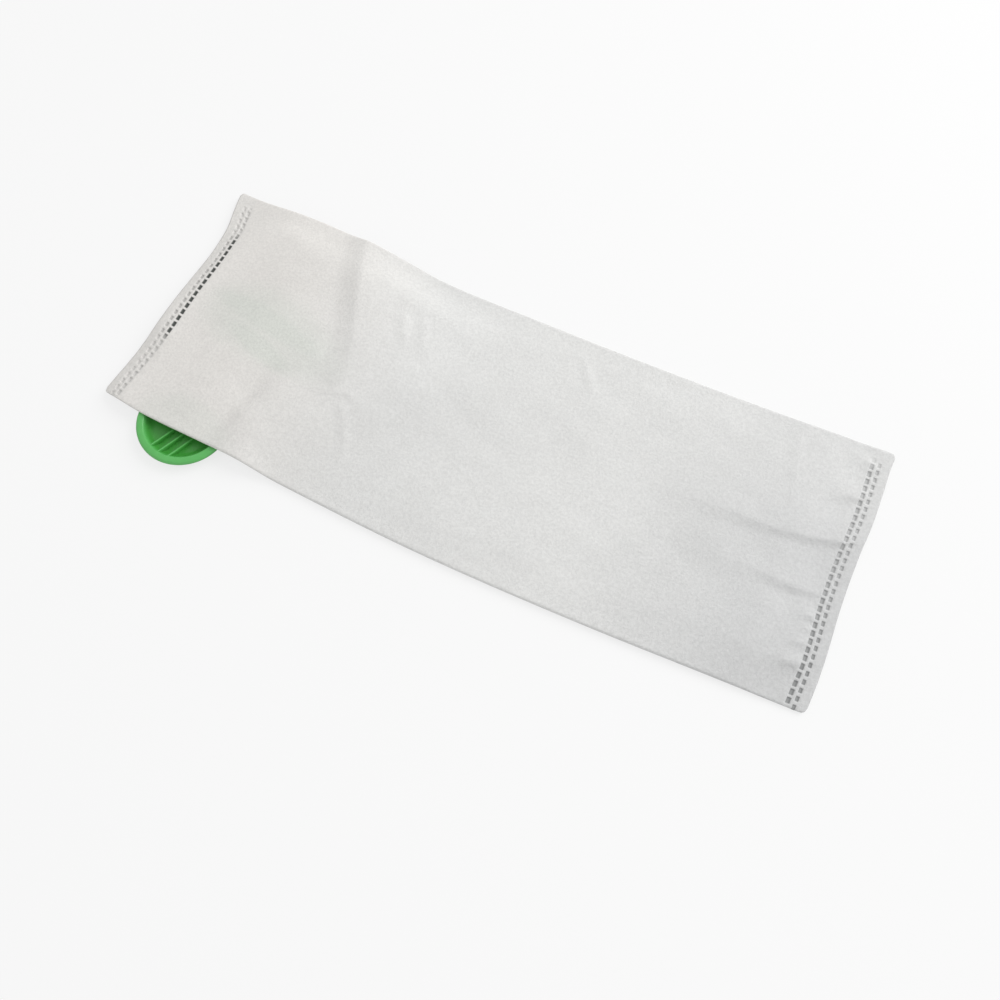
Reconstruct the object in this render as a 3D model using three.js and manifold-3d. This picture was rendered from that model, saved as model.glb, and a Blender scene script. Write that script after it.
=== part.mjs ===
// Vacuum dust bag: one sheet of white filter fleece folded into a flat tube and welded shut at both
// ends, with a green moulded collar under one end. The bag lies flat with the collar beneath it, and
// the collar's round grip looks out past one long fold.
// Millimetres, +Z up. +X runs along the bag, away from the collar. +Y runs away from the grip.

import * as THREE from 'three';
import * as BufferGeometryUtils from 'three/addons/utils/BufferGeometryUtils.js';
import Module from 'manifold-3d';

const wasm = await Module();
wasm.setup();

// Fit between pieces
const touchGap = 0.3;

// Bag: the folded fleece
const bagLength = 357.6;
const bagWidth = 134;
const fleeceWall = 0.8;
const loft = 1.3;
const foldLoft = 0.6;
const sidewaysBow = 6.9;
const leftEndPinch = 1.3;
const endWave = 1.3;

// Bag: the welded ends
const seamWidth = 11.5;
const seamThickness = 1.2;
const seamFadeLength = 24;
const weldPitch = 4;
const weldFloor = 0.5;
const weldCornerClearance = 2.2;
const weldRows = [
  { fromEnd: 5.4, across: 1.6, along: 2.2, stagger: 0.5 },
  { fromEnd: 8.6, across: 2.0, along: 2.9, stagger: 0 },
];

// Bag: how it hangs over the collar
const drapeStart = 6;
const drapeReach = 26;
const upperDrapeReach = 34;
const drapeBlend = 14;
const mouthLoft = 1.6;

// Collar
const collarHeight = 6;
const plateThickness = 2;
const plateWidth = 74;
const plateLength = 72;
const plateCorner = 12;
const skirtDepth = 1.8;
const skirtWall = 1.6;
const collarSkew = THREE.MathUtils.degToRad(12);
const collarFromEnd = 60.4;
const collarOffAxis = -1.3;
const neckWidth = 38;
const neckFillet = 5;
const stiffenerWall = 1.4;
const stiffenerDepth = 3;

// Mouth
const mouthRadius = 19;
const mouthRingWall = 3.4;
const mouthUpstand = 0.9;
const sealSeatWall = 1.6;
const sealSeatDepth = 1.9;
const sealLipReach = 2;

// Grip
const gripRadius = 22.7;
const gripFromMouth = 64;
const gripRimWidth = 4;
const gripRimThickness = 2;
const gripWall = 1.4;
const gripFloorRadius = 9;
const gripRibPitch = 5.4;
const gripRibCount = 3;
const gripRibThickness = 1.1;
const gripRibHeight = 2;

// Worked out
const halfLength = bagLength / 2;
const halfWidth = bagWidth / 2;
const mouthX = collarFromEnd - halfLength;
const mouthY = collarOffAxis;
const mouthRingRadius = mouthRadius + mouthRingWall;
const bagRestHeight = collarHeight + touchGap;
const gripDishRadius = gripRadius - gripRimWidth;

// Colours
const fleeceMaterial = new THREE.MeshStandardMaterial({ color: 0xdedbd7, roughness: 0.95, metalness: 0 });
const collarMaterial = new THREE.MeshStandardMaterial({ color: 0x46a04a, roughness: 0.45, metalness: 0 });
const sealMaterial = new THREE.MeshStandardMaterial({ color: 0x2c2d2e, roughness: 0.7, metalness: 0 });

// Solids

function toSolid(geometry) {
  const bare = geometry.clone();
  bare.deleteAttribute('normal');
  bare.deleteAttribute('uv');
  const merged = BufferGeometryUtils.mergeVertices(bare, 1e-4);
  return new wasm.Manifold(new wasm.Mesh({
    numProp: 3,
    vertProperties: new Float32Array(merged.attributes.position.array),
    triVerts: new Uint32Array(merged.index.array),
  }));
}

function toGeometry(solid) {
  const mesh = solid.getMesh();
  const geometry = new THREE.BufferGeometry();
  geometry.setAttribute('position', new THREE.BufferAttribute(new Float32Array(mesh.vertProperties), 3));
  geometry.setIndex(new THREE.BufferAttribute(new Uint32Array(mesh.triVerts), 1));
  geometry.computeVertexNormals();
  return geometry;
}

function extrudeUp(shape, from, to, curveSegments = 8) {
  const depth = to - from;
  const geometry = new THREE.ExtrudeGeometry(shape, { depth, curveSegments, bevelEnabled: false });
  return toSolid(geometry.translate(0, 0, from));
}

// A solid of revolution about Z. The profile lists [radius, height] counter-clockwise, from the axis
// back to the axis, or round and closed on itself.
function revolve(profile, segments = 36) {
  const points = profile.map(([radius, height]) => new THREE.Vector2(radius, height));
  return toSolid(new THREE.LatheGeometry(points, segments).rotateX(Math.PI / 2));
}

function block(width, length, height, x, y, z) {
  return toSolid(new THREE.BoxGeometry(width, length, height).translate(x, y, z));
}

// Curves

function easeOut(t) {
  return 0.5 + 0.5 * Math.cos(Math.PI * THREE.MathUtils.clamp(t, 0, 1));
}

function easeIn(t) {
  return 1 - easeOut(t);
}

// The smaller of two values, rounded over where they are within blend of each other
function smoothMin(a, b, blend) {
  const overlap = Math.max(blend - Math.abs(a - b), 0) / blend;
  return Math.min(a, b) - overlap * overlap * blend / 4;
}

// Evenly spaced places after from, up to and including to
function spread(from, to, steps) {
  return Array.from({ length: steps }, (_, i) => THREE.MathUtils.lerp(from, to, (i + 1) / steps));
}

// Collar

// The plate with its neck, drawn smaller all round by inset. The mouth's centre is at the origin, and
// the neck runs down -Y to the grip's centre.
function plateOutline(inset) {
  const side = plateWidth / 2 - inset;
  const end = plateLength / 2 - inset;
  const corner = plateCorner - inset;
  const neck = neckWidth / 2 - inset;
  const fillet = Math.min(neckFillet, plateWidth / 2 - plateCorner - neckWidth / 2) + inset;
  const shape = new THREE.Shape();
  shape.moveTo(neck, -gripFromMouth);
  shape.lineTo(neck, -end - fillet);
  shape.absarc(neck + fillet, -end - fillet, fillet, Math.PI, Math.PI / 2, true);
  shape.absarc(side - corner, -end + corner, corner, -Math.PI / 2, 0, false);
  shape.absarc(side - corner, end - corner, corner, 0, Math.PI / 2, false);
  shape.absarc(-side + corner, end - corner, corner, Math.PI / 2, Math.PI, false);
  shape.absarc(-side + corner, -end + corner, corner, Math.PI, 1.5 * Math.PI, false);
  shape.absarc(-neck - fillet, -end - fillet, fillet, Math.PI / 2, 0, true);
  shape.lineTo(-neck, -gripFromMouth);
  shape.closePath();
  return shape;
}

// A disc about the grip's centre
function gripDisc(radius, from, to) {
  return revolve([[0, from], [radius, from], [radius, to], [0, to]]).translate([0, -gripFromMouth, 0]);
}

function plateAndSkirt() {
  const under = collarHeight - plateThickness;
  const plate = extrudeUp(plateOutline(0), under, collarHeight);
  const skirt = extrudeUp(plateOutline(0), under - skirtDepth, under)
    .subtract(extrudeUp(plateOutline(skirtWall), under - skirtDepth - 1, under + 1))
    .subtract(gripDisc(gripRadius - skirtWall, under - skirtDepth - 1, under));
  return plate.add(skirt);
}

// Ribs under the plate, out from the mouth ring to the skirt and along the neck to the grip
function stiffeners() {
  const top = collarHeight - plateThickness / 2;
  const bottom = collarHeight - plateThickness - stiffenerDepth;
  const height = top - bottom;
  const middle = (top + bottom) / 2;
  const start = mouthRadius + mouthRingWall / 2;
  const sideRun = plateWidth / 2 - skirtWall / 2 - start;
  const farRun = plateLength / 2 - skirtWall / 2 - start;
  const neckRun = gripFromMouth - gripFloorRadius - start;
  const neckRibX = neckWidth / 5;
  const run = (length) => start + length / 2;
  return block(sideRun, stiffenerWall, height, run(sideRun), 0, middle)
    .add(block(sideRun, stiffenerWall, height, -run(sideRun), 0, middle))
    .add(block(stiffenerWall, farRun, height, 0, run(farRun), middle))
    .add(block(stiffenerWall, neckRun, height, neckRibX, -run(neckRun), middle))
    .add(block(stiffenerWall, neckRun, height, -neckRibX, -run(neckRun), middle));
}

function mouthRing() {
  const lead = 0.4;
  return revolve([
    [mouthRadius, 0],
    [mouthRingRadius - lead, 0],
    [mouthRingRadius, lead],
    [mouthRingRadius, collarHeight + mouthUpstand],
    [mouthRadius, collarHeight + mouthUpstand],
    [mouthRadius, 0],
  ]);
}

function mouthBore() {
  const seatRadius = mouthRadius + sealSeatWall;
  return revolve([
    [0, -1],
    [seatRadius, -1],
    [seatRadius, sealSeatDepth],
    [mouthRadius, sealSeatDepth],
    [mouthRadius, collarHeight + mouthUpstand + 1],
    [0, collarHeight + mouthUpstand + 1],
  ]);
}

// Height of the grip's dished floor at a radius: flat in the middle, then sweeping up to the rim
function dishHeight(radius) {
  const t = THREE.MathUtils.clamp((radius - gripFloorRadius) / (gripDishRadius - gripFloorRadius), 0, 1);
  return gripWall + (collarHeight - gripWall) * t * t;
}

// The dish's section from its rim in to the axis, raised or lowered all over
function dishProfile(raise, highest = collarHeight) {
  const radii = [gripDishRadius, ...spread(gripDishRadius, gripFloorRadius, 5)];
  const profile = radii.map((radius) => [radius, Math.min(dishHeight(radius) + raise, highest)]);
  return [...profile, [0, gripWall + raise]];
}

function gripBlank() {
  const flange = collarHeight - gripRimThickness;
  const round = 0.6;
  return revolve([
    [0, 0],
    [gripFloorRadius + gripWall, 0],
    [gripDishRadius + gripWall, flange],
    [gripRadius - round, flange],
    [gripRadius, flange + round],
    [gripRadius, collarHeight - round],
    [gripRadius - round, collarHeight],
    [0, collarHeight],
  ]);
}

function dishHollow() {
  return revolve([...dishProfile(0).reverse(), [gripDishRadius, collarHeight + 1], [0, collarHeight + 1]]);
}

// Thumb ribs: a layer on the dish's floor, sliced into upright fins along the grip
function gripRibs() {
  const lower = dishProfile(-gripWall / 2).reverse();
  const layer = revolve([...lower, ...dishProfile(gripRibHeight, collarHeight - 0.3)]);
  const first = -(gripRibCount - 1) / 2;
  const fins = Array.from({ length: gripRibCount }, (_, i) => (first + i) * gripRibPitch)
    .map((x) => block(gripRibThickness, 2 * gripRadius, 4 * collarHeight, x, 0, 0));
  return layer.intersect(wasm.Manifold.union(fins));
}

function collarGeometry() {
  const toGrip = [0, -gripFromMouth, 0];
  const collar = plateAndSkirt()
    .add(stiffeners())
    .add(mouthRing())
    .subtract(mouthBore())
    .add(gripBlank().translate(toGrip))
    .subtract(dishHollow().translate(toGrip))
    .add(gripRibs().translate(toGrip));
  return toGeometry(collar);
}

// Seal: a soft ring in the seat at the mouth, with a thin lip that leans in and up
function sealGeometry() {
  const outer = mouthRadius + sealSeatWall - touchGap;
  const body = mouthRadius - 0.5;
  const low = 0.2;
  const high = sealSeatDepth - touchGap;
  const lip = mouthRadius - sealLipReach;
  return toGeometry(revolve([
    [body, low],
    [outer, low],
    [outer, high],
    [body, high],
    [lip + 0.5, high + 1.1],
    [lip, high + 0.6],
    [body, low],
  ]));
}

// Bag

// Distance from a point on the table to the collar's outline, zero inside it
function distanceToCollar(x, y) {
  const dx = x - mouthX;
  const dy = y - mouthY;
  const across = dx * Math.cos(collarSkew) - dy * Math.sin(collarSkew);
  const along = dx * Math.sin(collarSkew) + dy * Math.cos(collarSkew);
  const plate = Math.hypot(
    Math.max(Math.abs(across) - plateWidth / 2 + plateCorner, 0),
    Math.max(Math.abs(along) - plateLength / 2 + plateCorner, 0),
  ) - plateCorner;
  const neck = Math.hypot(
    Math.max(Math.abs(across) - neckWidth / 2, 0),
    Math.max(Math.abs(along + gripFromMouth / 2) - gripFromMouth / 2, 0),
  );
  const grip = Math.hypot(across, along + gripFromMouth) - gripRadius;
  return Math.max(smoothMin(smoothMin(plate, neck, drapeBlend), grip, drapeBlend), 0);
}

function drapeHeight(x, y, reach) {
  return bagRestHeight * easeOut((distanceToCollar(x, y) - drapeStart) / reach);
}

// A soft ridge along a line, highest at its start and fading towards its end
function ridge(x, y, [startX, startY], [endX, endY], height, spread) {
  const runX = endX - startX;
  const runY = endY - startY;
  const along = ((x - startX) * runX + (y - startY) * runY) / (runX * runX + runY * runY);
  const t = THREE.MathUtils.clamp(along, 0, 1);
  const aside = Math.hypot(x - startX - t * runX, y - startY - t * runY);
  return height * easeOut(t) * Math.exp(-((aside / spread) ** 2));
}

// Folds that the collar raises in the bag: one across the bag from the far fold down the plate's
// right side, one out from the plate's far corner and one beside the neck. Places are from the mouth.
const collarFolds = [
  { from: [12, 64], to: [26, -6], height: 3.4, spread: 8 },
  { from: [33, 6], to: [40, -42], height: 1.2, spread: 7 },
  { from: [44, 34], to: [58, 60], height: 1.6, spread: 5 },
  { from: [4, -60], to: [14, -16], height: 1.1, spread: 5 },
];

function collarFoldHeight(x, y) {
  return collarFolds.reduce((sum, { from, to, height, spread }) => sum + ridge(
    x,
    y,
    [mouthX + from[0], mouthY + from[1]],
    [mouthX + to[0], mouthY + to[1]],
    height,
    spread,
  ), 0);
}

// Gathers that the weld at the far end from the collar draws into the fleece. Each starts at the seam
// at a share of the half width, and runs back into the bag with a sideways drift.
const gathers = [
  { at: 0.80, length: 24, drift: 12, height: 1.3 },
  { at: 0.52, length: 30, drift: -3, height: 1.6 },
  { at: 0.19, length: 150, drift: -22, height: 1.9 },
  { at: -0.26, length: 92, drift: -6, height: 1.8 },
  { at: -0.60, length: 30, drift: -6, height: 1.4 },
  { at: -0.78, length: 34, drift: -7, height: 1.5 },
];
const gatherSpread = 5;

function gatherHeight(x, y) {
  const seam = halfLength - seamWidth;
  const atSeam = easeIn((halfLength - x) / seamWidth) * 0.75 + 0.25;
  return atSeam * gathers.reduce((sum, { at, length, drift, height }) => sum + ridge(
    x,
    y,
    [seam, at * halfWidth],
    [seam - length, at * halfWidth + drift],
    height,
    gatherSpread,
  ), 0);
}

// 1 over the open bag, 0 in the welded strips
function openness(x) {
  return easeIn((halfLength - seamWidth - Math.abs(x)) / seamFadeLength);
}

function undersideHeight(x, y) {
  const lifted = collarFolds[0];
  const liftX = mouthX + lifted.from[0];
  const farSide = easeIn((y - mouthY) / (halfWidth - mouthY));
  const lift = 0.7 * lifted.height * Math.exp(-(((x - liftX) / 14) ** 2)) * farSide;
  return drapeHeight(x, y, drapeReach) + lift + 0.35 * gatherHeight(x, y);
}

// Thickness of the whole bag, both layers and the air between them. fromFold is the distance to the
// nearest long fold.
function bagThickness(x, y, fromFold) {
  const open = openness(x);
  const upper = drapeHeight(x, y, upperDrapeReach) - drapeHeight(x, y, drapeReach);
  const overPlate = mouthLoft * easeOut(distanceToCollar(x, y) / drapeStart);
  const away = easeIn(fromFold / 18);
  const air = foldLoft + away * (loft - foldLoft + upper + overPlate);
  const folds = away * collarFoldHeight(x, y) + 0.65 * gatherHeight(x, y);
  return THREE.MathUtils.lerp(seamThickness, 2 * fleeceWall + air, open) + Math.max(folds * open, 0);
}

function centreline(x) {
  return -sidewaysBow * Math.sin(Math.PI * (x + halfLength) / bagLength) ** 0.8;
}

function halfWidthAt(x) {
  return halfWidth - leftEndPinch * easeOut((x + halfLength) / (2 * seamWidth));
}

function leftEnd(y) {
  return undersideHeight(-halfLength, y) - halfLength;
}

function rightEnd(y) {
  return halfLength + endWave * Math.cos(2 * Math.PI * (y - 0.54 * halfWidth) / (1.2 * halfWidth));
}

// Heights on a long fold's rounding, from 1 at the upper layer to -1 at the lower one
const foldTurn = [0.6, 0, -0.6];

// Places along the bag for its rings: two steps over each welded strip, short steps over the collar and
// where the gathers start, and long ones between
function ringPlaces() {
  const strip = halfLength - seamWidth;
  const pastCollar = mouthX + plateWidth / 2 + drapeStart + drapeReach;
  const gathered = strip - 66;
  return [
    -halfLength,
    ...spread(-halfLength, -strip, 2),
    ...spread(-strip, pastCollar, 20),
    ...spread(pastCollar, gathered, 9),
    ...spread(gathered, strip, 9),
    ...spread(strip, halfLength, 2),
  ];
}

// One closed ring of points round the bag at a place along it, drawn inside the fleece by inset: along
// the upper layer from the near fold to the far one, round that fold, and back underneath.
function bagRing(station, steps, inset) {
  const centre = centreline(station);
  const half = halfWidthAt(station);
  const share = (station + halfLength) / bagLength;
  const place = (y) => THREE.MathUtils.lerp(leftEnd(y), rightEnd(y), share);
  const upper = [];
  const lower = [];
  for (let j = 0; j <= steps; j++) {
    const t = j / steps;
    const edge = Math.min(t, 1 - t) * 2 * half;
    const y = centre + (2 * t - 1) * (half - fleeceWall);
    const x = place(y);
    const low = undersideHeight(station, y);
    const high = low + bagThickness(station, y, edge);
    upper.push([x, y, high - inset]);
    lower.push([x, y, low + inset]);
  }
  const fold = (side, [x, , high], [, , low]) => {
    const rise = (high - low) / 2;
    const out = fleeceWall - inset;
    const y = centre + side * (half - fleeceWall);
    return foldTurn.map((s) => [x, y + side * out * Math.sqrt(1 - s * s), low + rise * (1 + s)]);
  };
  return [
    ...upper,
    ...fold(1, upper[steps], lower[steps]),
    ...lower.slice().reverse(),
    ...fold(-1, upper[0], lower[0]).reverse(),
  ];
}

// Skin over a row of rings, closed at both ends
function loftRings(rings) {
  const size = rings[0].length;
  const positions = rings.flat(2);
  const index = [];
  for (let i = 0; i + 1 < rings.length; i++) {
    for (let j = 0; j < size; j++) {
      const a = i * size + j;
      const b = i * size + (j + 1) % size;
      index.push(a, a + size, b, b, a + size, b + size);
    }
  }
  closeRing(index, 0, size, true);
  closeRing(index, (rings.length - 1) * size, size, false);
  const geometry = new THREE.BufferGeometry();
  geometry.setAttribute('position', new THREE.Float32BufferAttribute(positions, 3));
  geometry.setIndex(index);
  return toSolid(geometry);
}

// Fills a ring: a fan over each fold and a strip of squares between the upper and the lower layer
function closeRing(index, first, size, facesForward) {
  const steps = size / 2 - foldTurn.length - 1;
  const below = (j) => size - 1 - foldTurn.length - j;
  const addFace = (a, b, c) => {
    const face = facesForward ? [a, b, c] : [a, c, b];
    index.push(...face.map((corner) => first + corner));
  };
  for (let k = 0; k < foldTurn.length; k++) {
    addFace(0, below(0) + k, below(0) + k + 1);
    addFace(steps, steps + 1 + k, steps + 2 + k);
  }
  for (let j = 0; j < steps; j++) {
    addFace(j, j + 1, below(j));
    addFace(j + 1, below(j + 1), below(j));
  }
}

// Height of a welded strip's underside, which is straight between its rings
function stripHeight(end, fromEnd, y) {
  const step = seamWidth / 2;
  const ring = fromEnd < step ? 0 : 1;
  const outer = undersideHeight(end * (halfLength - ring * step), y);
  const inner = undersideHeight(end * (halfLength - (ring + 1) * step), y);
  return THREE.MathUtils.lerp(outer, inner, fromEnd / step - ring);
}

// Pockets that the welding wheel presses through both layers, in two staggered rows at each end
function weldPockets() {
  const pockets = [];
  const halfRun = halfWidth - weldCornerClearance;
  for (const end of [-1, 1]) {
    for (const row of weldRows) {
      const count = Math.floor(2 * halfRun / weldPitch);
      for (let i = 0; i < count; i++) {
        const y = (i - (count - 1) / 2 + row.stagger - 0.25) * weldPitch;
        const x = end < 0 ? leftEnd(y) + row.fromEnd : rightEnd(y) - row.fromEnd;
        const floor = stripHeight(end, row.fromEnd, y) + weldFloor;
        pockets.push(block(row.across, row.along, 4, x, y, floor + 2));
      }
    }
  }
  return wasm.Manifold.union(pockets);
}

function bagGeometry() {
  const steps = 18;
  const places = ringPlaces();
  const outer = loftRings(places.map((station) => bagRing(station, steps, 0)));
  const hollow = loftRings(places.slice(4, -4).map((station) => bagRing(station, steps, fleeceWall)));
  const hole = revolve([
    [0, -1],
    [mouthRingRadius + touchGap, -1],
    [mouthRingRadius + touchGap, bagRestHeight + fleeceWall + loft / 2],
    [0, bagRestHeight + fleeceWall + loft / 2],
  ]).translate([mouthX, mouthY, 0]);
  return toGeometry(outer.subtract(hollow).subtract(hole).subtract(weldPockets()));
}

// Assembly

function piece(name, geometry, material) {
  const mesh = new THREE.Mesh(geometry, material);
  mesh.name = name;
  return mesh;
}

const collar = new THREE.Group();
collar.add(piece('collar', collarGeometry(), collarMaterial));
collar.add(piece('mouth_seal', sealGeometry(), sealMaterial));
collar.position.set(mouthX, mouthY, 0);
collar.rotation.z = -collarSkew;

const dustBag = new THREE.Group();
dustBag.add(piece('fleece_bag', bagGeometry(), fleeceMaterial));
dustBag.add(collar);

// The origin is on the table, under the middle of the whole outline
dustBag.updateMatrixWorld(true);
const reach = new THREE.Box3().setFromObject(dustBag, true);
const middle = reach.getCenter(new THREE.Vector3());
dustBag.position.set(-middle.x, -middle.y, -reach.min.z);

export default dustBag;
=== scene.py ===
import math

import bmesh
import bpy
import numpy as np
from mathutils import Matrix, Vector


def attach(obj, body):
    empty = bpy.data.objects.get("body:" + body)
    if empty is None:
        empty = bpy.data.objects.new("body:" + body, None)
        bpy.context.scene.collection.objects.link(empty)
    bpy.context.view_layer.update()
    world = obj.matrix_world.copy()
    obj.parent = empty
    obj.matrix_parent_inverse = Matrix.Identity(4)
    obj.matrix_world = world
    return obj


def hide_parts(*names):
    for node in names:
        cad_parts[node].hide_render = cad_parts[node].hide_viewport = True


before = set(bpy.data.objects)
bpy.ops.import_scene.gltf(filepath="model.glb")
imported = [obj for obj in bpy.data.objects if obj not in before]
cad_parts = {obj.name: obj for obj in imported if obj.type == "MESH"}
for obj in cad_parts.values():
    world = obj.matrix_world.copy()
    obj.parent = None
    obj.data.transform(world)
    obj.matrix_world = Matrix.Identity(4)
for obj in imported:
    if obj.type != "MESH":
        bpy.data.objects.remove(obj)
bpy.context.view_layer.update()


# Collar
#
# The green collar is one shot of polypropylene: a plate with a turned-down skirt and thin ribs
# beneath, a round mouth that stands up through the fleece, and a neck that runs out to a dished
# thumb grip. The fleece is welded to its plate, so only the grip is seen from above.

# Lengths are in millimetres. Those of the collar are taken from the middle of its mouth.
MILLIMETRE = 0.001
MOUTH = (-119.05, 8.494)
COLLAR_SKEW = math.radians(12)

PLATE_HALF_WIDTH = 37.0
PLATE_HALF_LENGTH = 36.0
PLATE_CORNER = 12.0
PLATE_TOP = 5.95
PLATE_UNDERSIDE = 4.0
SKIRT_BOTTOM = 2.2
SKIRT_WALL = 1.6
NECK_HALF_WIDTH = 19.0
NECK_FILLET = 5.0
STIFFENER_THICKNESS = 1.4
STIFFENER_BOTTOM = 1.0
STIFFENER_TOP = 5.0
NECK_RIBS_APART = 15.2

MOUTH_RADIUS = 19.0
MOUTH_RING_RADIUS = 22.4
MOUTH_RING_TOP = 6.9
SEAT_RADIUS = 20.6
SEAT_DEPTH = 1.9

GRIP_RADIUS = 22.7
GRIP_CENTRE = (0.0, -64.0)
GRIP_TOP = 6.0
DISH_RADIUS = 19.1
DISH_FLOOR_RADIUS = 14.8
DISH_FLOOR = 2.0
THUMB_RIBS = 3
THUMB_RIB_PITCH = 5.1
THUMB_RIBS_MIDDLE = 4.6
THUMB_RIB_END = 10.0

LONGEST_STEP = 4.0
SHARP_EDGE = math.radians(38)

COLLAR_GREEN = (0.118, 0.465, 0.122, 1)
COLLAR_GREEN_CLOUD = (0.102, 0.43, 0.106, 1)
# Painted shade: the grip's green below its rim, in the dish
SHADED_DISH_GREEN = (0.055, 0.325, 0.047, 1)


def arc(centre, radius, start, end, steps):
    """Points on an arc, its angles in degrees."""
    angles = np.radians(np.linspace(start, end, steps + 1))
    return np.stack([centre[0] + radius * np.cos(angles), centre[1] + radius * np.sin(angles)], -1)


def plate_arcs(inset):
    """The arcs of the plate's outline, drawn in by inset. The neck's last arc runs under the grip's rim."""
    side = PLATE_HALF_WIDTH - PLATE_CORNER
    end = PLATE_HALF_LENGTH - PLATE_CORNER
    corner = PLATE_CORNER - inset
    fillet_x = NECK_HALF_WIDTH + NECK_FILLET
    fillet_y = -PLATE_HALF_LENGTH - NECK_FILLET
    rim = (GRIP_RADIUS + DISH_RADIUS) / 2 + inset
    meets = math.degrees(math.acos((NECK_HALF_WIDTH - inset) / rim))
    return np.concatenate([
        arc((fillet_x, fillet_y), NECK_FILLET + inset, 180, 90, 6),
        arc((side, -end), corner, -90, 0, 10),
        arc((side, end), corner, 0, 90, 10),
        arc((-side, end), corner, 90, 180, 10),
        arc((-side, -end), corner, 180, 270, 10),
        arc((-fillet_x, fillet_y), NECK_FILLET + inset, 90, 0, 6),
        arc(GRIP_CENTRE, rim, 180 - meets, meets, 16),
    ])


def plate_outline(inset):
    """The whole outline, its straights filled with points at the same shares for every inset."""
    whole = plate_arcs(0)
    drawn = plate_arcs(inset)
    points = []
    for i in range(len(whole)):
        following = (i + 1) % len(whole)
        count = max(1, math.ceil(np.linalg.norm(whole[following] - whole[i]) / LONGEST_STEP))
        for step in range(count):
            points.append(drawn[i] + (drawn[following] - drawn[i]) * step / count)
    return np.array(points)


def at_height(outline, height):
    """The outline's points, all at one height."""
    return np.column_stack([outline, np.full(len(outline), height)])


class Moulding:
    """Closed skins gathered into one mesh, in millimetres about the mouth's centre."""

    def __init__(self):
        self.points = []
        self.faces = []

    def add(self, points, faces):
        first = len(self.points)
        self.points.extend(tuple(point) for point in points)
        self.faces.extend(tuple(first + corner for corner in face) for face in faces)

    def add_rows(self, rows, joined=True, capped=False):
        """A skin over rows of points. Each row is closed round.

        The last row may be joined to the first, or the first and the last row may be capped.
        """
        around = len(rows[0])
        faces = []
        for i in range(len(rows) if joined else len(rows) - 1):
            this, following = i * around, (i + 1) % len(rows) * around
            for j in range(around):
                beside = (j + 1) % around
                faces.append((this + j, this + beside, following + beside, following + j))
        if capped:
            last = (len(rows) - 1) * around
            faces.append(tuple(range(around)))
            faces.append(tuple(range(last, last + around)))
        self.add(np.concatenate(rows), faces)

    def add_turned(self, profile, centre=(0, 0), joined=True, around=96):
        """A form turned about an upright axis, from a profile of [radius, height]."""
        circle = arc((0, 0), 1, 0, 360 - 360 / around, around - 1)
        self.add_rows([at_height(circle * radius + centre, height) for radius, height in profile], joined)

    def add_bar(self, low, high):
        """An upright bar between two corners."""
        corners = np.array([[low[0], low[1]], [high[0], low[1]], [high[0], high[1]], [low[0], high[1]]])
        self.add_rows([at_height(corners, low[2]), at_height(corners, high[2])], joined=False, capped=True)

    def add_mesh(self, mesh, centre):
        """The skins of a mesh, moved to a centre."""
        shift = Vector((*centre, 0))
        self.add([vertex.co + shift for vertex in mesh.vertices], [face.vertices for face in mesh.polygons])

    def piece(self, name, material):
        """The finished piece, in its place in the frame, smooth except over its sharper edges."""
        shape = bmesh.new()
        corners = [shape.verts.new(point) for point in self.points]
        for face in self.faces:
            shape.faces.new([corners[corner] for corner in face])
        bmesh.ops.remove_doubles(shape, verts=shape.verts, dist=1e-4)
        bmesh.ops.recalc_face_normals(shape, faces=shape.faces)
        for edge in shape.edges:
            edge.smooth = edge.calc_face_angle(0) < SHARP_EDGE
        for face in shape.faces:
            face.smooth = True
        place = Matrix.Translation((*MOUTH, 0)) @ Matrix.Rotation(-COLLAR_SKEW, 4, "Z")
        bmesh.ops.transform(shape, matrix=Matrix.Scale(MILLIMETRE, 4) @ place, verts=shape.verts)
        mesh = bpy.data.meshes.new(name)
        shape.to_mesh(mesh)
        shape.free()
        mesh.materials.append(material)
        piece = bpy.data.objects.new(name, mesh)
        bpy.context.scene.collection.objects.link(piece)
        return piece


class Wire:
    """One output of a node, with arithmetic that adds Math nodes to its tree."""

    def __init__(self, graph, socket):
        self.graph = graph
        self.socket = socket

    def __add__(self, other):
        return self.graph.math("ADD", self, other)

    def __radd__(self, other):
        return self.graph.math("ADD", other, self)

    def __sub__(self, other):
        return self.graph.math("SUBTRACT", self, other)

    def __rsub__(self, other):
        return self.graph.math("SUBTRACT", other, self)

    def __mul__(self, other):
        return self.graph.math("MULTIPLY", self, other)

    def __rmul__(self, other):
        return self.graph.math("MULTIPLY", other, self)

    def __abs__(self):
        return self.graph.math("ABSOLUTE", self)


class Graph:
    """The nodes of a material or of a modifier."""

    def __init__(self, tree):
        self.tree = tree
        self.tree.nodes.clear()

    def node(self, kind, settings=None, values=None, output=0):
        """Adds a node with its settings and inputs, and gives the wire of one of its outputs."""
        made = self.tree.nodes.new(kind)
        for name, value in (settings or {}).items():
            setattr(made, name, value)
        for name, value in (values or {}).items():
            if isinstance(value, Wire):
                self.tree.links.new(value.socket, made.inputs[name])
            else:
                made.inputs[name].default_value = value
        return Wire(self, made.outputs[output]) if made.outputs else None

    def math(self, operation, *values):
        return self.node("ShaderNodeMath", {"operation": operation}, dict(enumerate(values)))

    def fade(self, value, start, end):
        """0 at start and 1 at end, eased at both."""
        return self.node("ShaderNodeMapRange", {"interpolation_type": "SMOOTHSTEP"}, {
            "Value": value,
            "From Min": start,
            "From Max": end,
        })

    def mix(self, share, first, second):
        values = {0: share, 6: first, 7: second}
        return self.node("ShaderNodeMix", {"data_type": "RGBA"}, values, output=2)

    def noise(self, where, scale, detail=2.0, roughness=0.5):
        values = {"Vector": where, "Scale": scale, "Detail": detail, "Roughness": roughness}
        return self.node("ShaderNodeTexNoise", None, values)

    def bump(self, height, distance, strength):
        values = {"Height": height, "Distance": distance, "Strength": strength}
        return self.node("ShaderNodeBump", None, values)


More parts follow.
